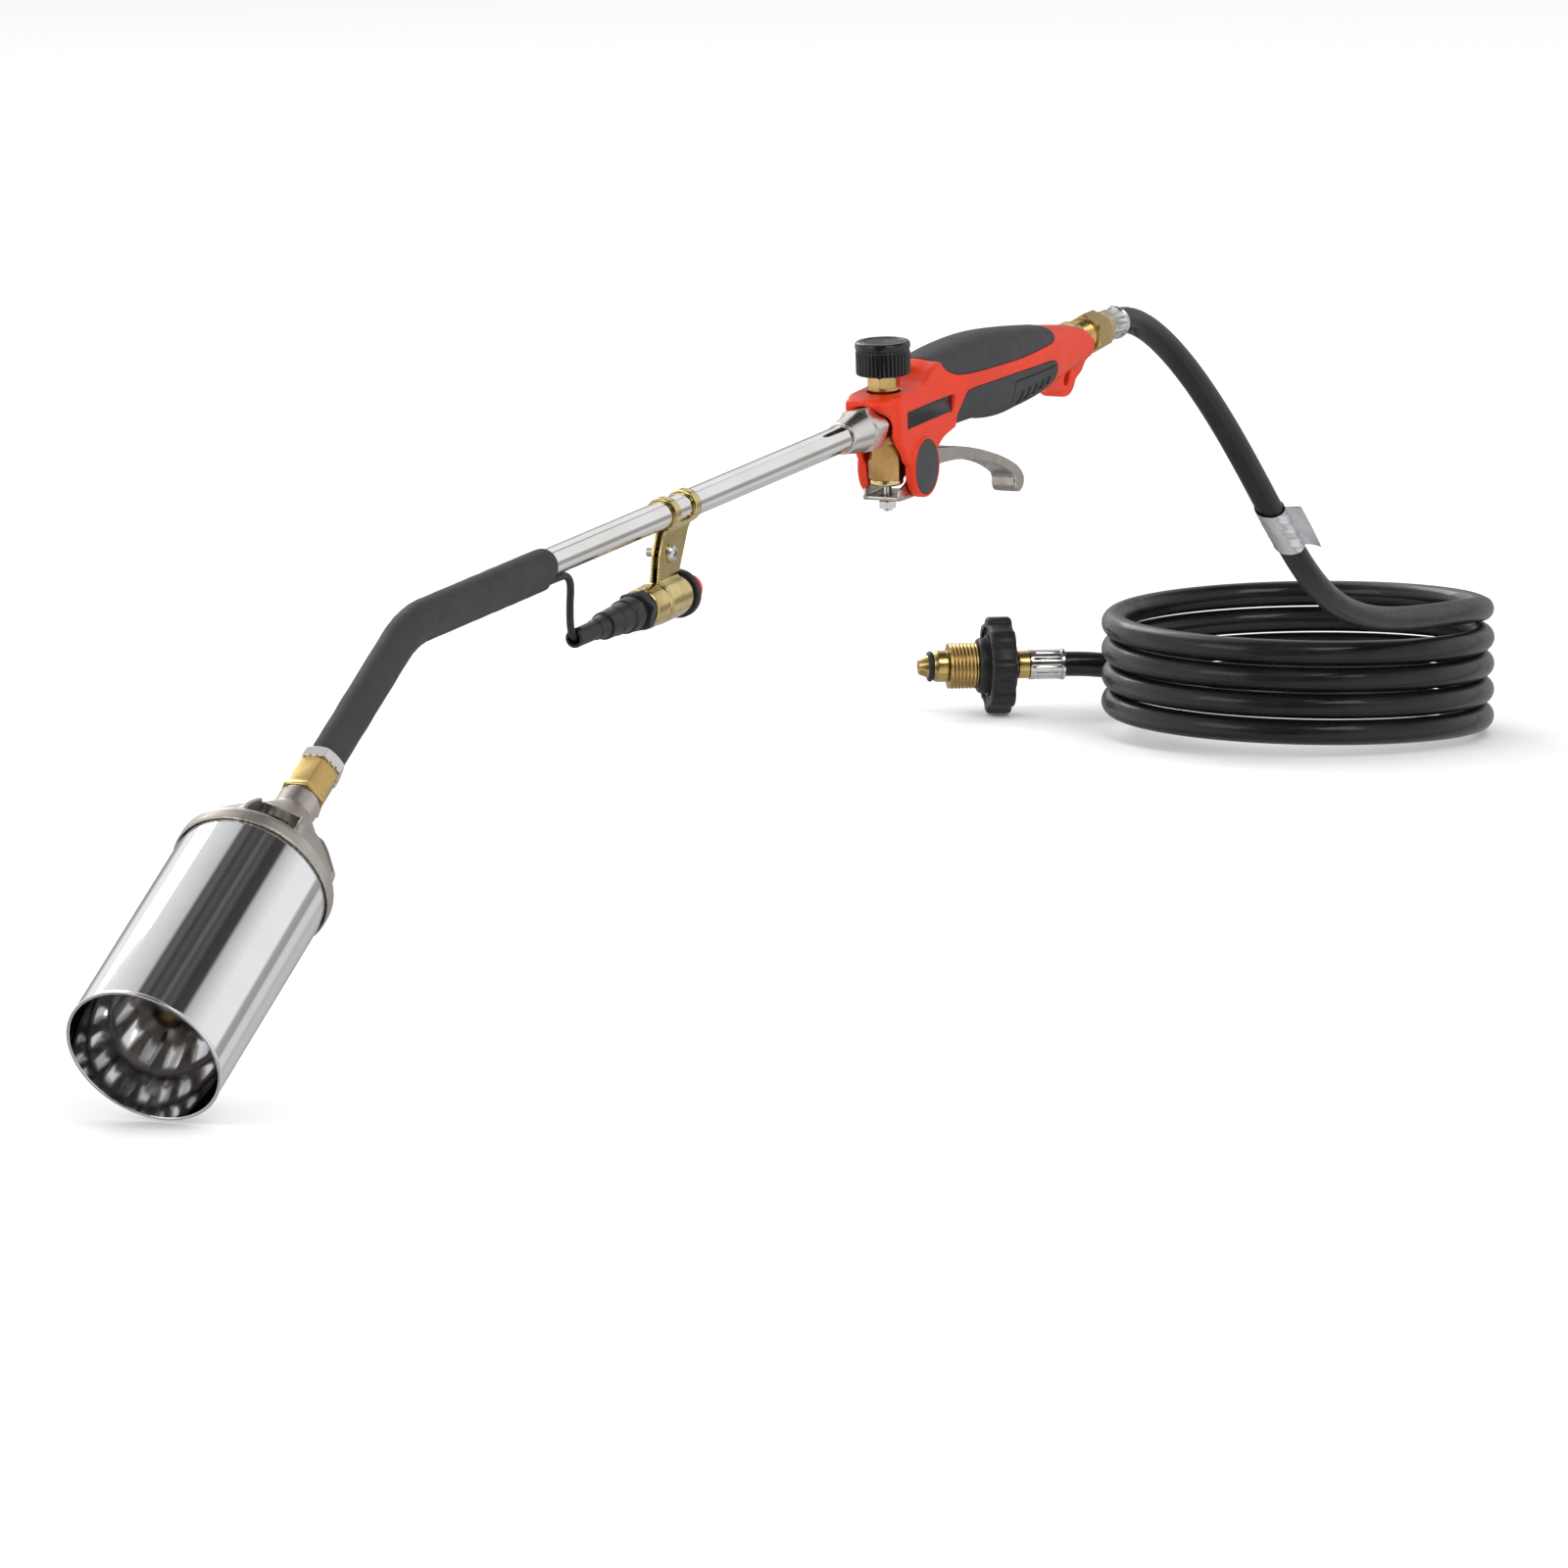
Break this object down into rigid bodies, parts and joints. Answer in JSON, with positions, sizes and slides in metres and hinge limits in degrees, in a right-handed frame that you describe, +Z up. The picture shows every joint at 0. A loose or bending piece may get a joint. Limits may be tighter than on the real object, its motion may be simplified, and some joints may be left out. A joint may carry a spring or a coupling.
{
  "type": "propane torch",
  "caption": "Long propane torch with round burner bell, bent lance, push-button igniter, pistol valve with knob and squeeze lever, coiled supply hose and tank connector.",
  "frame": {"origin": "middle of the hand grip, on the axis of the gas pipe", "axes": "+X towards the hose end, +Y to the far side of the torch from the near grip half, +Z up; the lance runs towards -X, pitched nose down by 4.5 degrees"},
  "size_m": [1.3529, 0.2839, 0.2441],
  "materials": {
    "bell_chrome": "polished chrome-plated steel",
    "cast_nickel": "satin nickel-plated zinc casting",
    "brass": "turned brass",
    "steel": "bright steel",
    "sleeve_grey": "matte heat sleeve",
    "black_rubber": "black rubber",
    "grip_rubber": "dark grey textured rubber",
    "zinc_gold": "yellow-passivated zinc plate on steel",
    "black_plastic": "black moulded plastic",
    "red_plastic": "red moulded plastic",
    "button_red": "red moulded button",
    "ceramic": "white piezo element case",
    "foil": "silver foil tag"
  },
  "bodies": {
    "torch": {"burner_bell": "bell_chrome", "burner_collar": "cast_nickel", "burner_nut": "brass", "lock_nut": "bell_chrome", "gas_jet": "brass", "electrode_insulator": "black_plastic", "electrode_rod": "steel", "lance_tube": "bell_chrome", "heat_sleeve": "sleeve_grey", "ignition_lead": "black_rubber", "tube_nut": "bell_chrome", "igniter_bracket": "zinc_gold", "bracket_screw": "steel", "bracket_nut": "steel", "igniter_body": "black_plastic", "igniter_nut": "black_plastic", "igniter_boot": "black_rubber", "igniter_spring": "steel", "igniter_piezo": "ceramic", "shell_left": "red_plastic", "shell_right": "red_plastic", "handle_screws": "steel", "pad_top": "grip_rubber", "pad_left": "grip_rubber", "pad_right": "grip_rubber", "label_plates": "black_plastic", "pivot_caps": "black_plastic", "pivot_pin": "steel", "valve_body": "brass", "bonnet_nut": "brass", "needle_packing": "black_rubber", "valve_gland": "brass", "plunger_spring": "steel", "gas_pipe": "brass", "inlet_fitting": "brass", "hose_tail": "brass", "hose_ferrules": "steel", "hose": "black_rubber", "hose_tag": "foil", "pol_nipple": "brass", "nose_seal": "black_rubber"},
    "needle": {"valve_needle": "steel"},
    "knob": {"control_knob": "black_plastic", "knob_cap": "black_plastic", "knob_screw": "steel"},
    "lever": {"trigger_lever": "cast_nickel"},
    "plunger": {"plunger_stem": "steel", "stem_nut": "steel"},
    "button": {"igniter_button": "button_red"},
    "hose_swivel": {"hose_nut": "brass"},
    "tank_swivel": {"pol_nut": "brass", "hand_wheel": "black_plastic"}
  },
  "joints": [
    {"name": "needle_lift", "type": "slide", "parent": "torch", "child": "needle", "axis": [-0.0785, 0, 0.9969], "range_m": [0, 0.0015]},
    {"name": "knob_turn", "type": "hinge", "parent": "needle", "child": "knob", "pos_m": [-0.09966, 0, 0.01723], "axis": [-0.0785, 0, 0.9969], "range_deg": [0, 540]},
    {"name": "lever_squeeze", "type": "hinge", "parent": "torch", "child": "lever", "pos_m": [-0.08349, 0, -0.02894], "axis": [0, -1, 0], "range_deg": [0, 8]},
    {"name": "plunger_slide", "type": "slide", "parent": "torch", "child": "plunger", "axis": [0.0785, 0, -0.9969], "range_m": [0, 0.0018], "deforming": ["plunger_spring"]},
    {"name": "igniter_press", "type": "slide", "parent": "torch", "child": "button", "axis": [-0.9969, 0, -0.0785], "range_m": [0, 0.0055], "deforming": ["igniter_spring"]},
    {"name": "hose_nut_spin", "type": "hinge", "parent": "torch", "child": "hose_swivel", "pos_m": [0.11963, 0, 0.00941], "axis": [0.9969, 0, 0.0785], "continuous": true},
    {"name": "hand_wheel_spin", "type": "hinge", "parent": "torch", "child": "tank_swivel", "pos_m": [0.45671, 0.19673, -0.192], "axis": [-0.5563, 0.831, 0], "continuous": true}
  ],
  "couplings": [
    {"joint": "needle_lift", "follows": "knob_turn", "m_per_rad": 0.00015915},
    {"joint": "plunger_slide", "follows": "lever_squeeze", "m_per_rad": 0.0125}
  ]
}
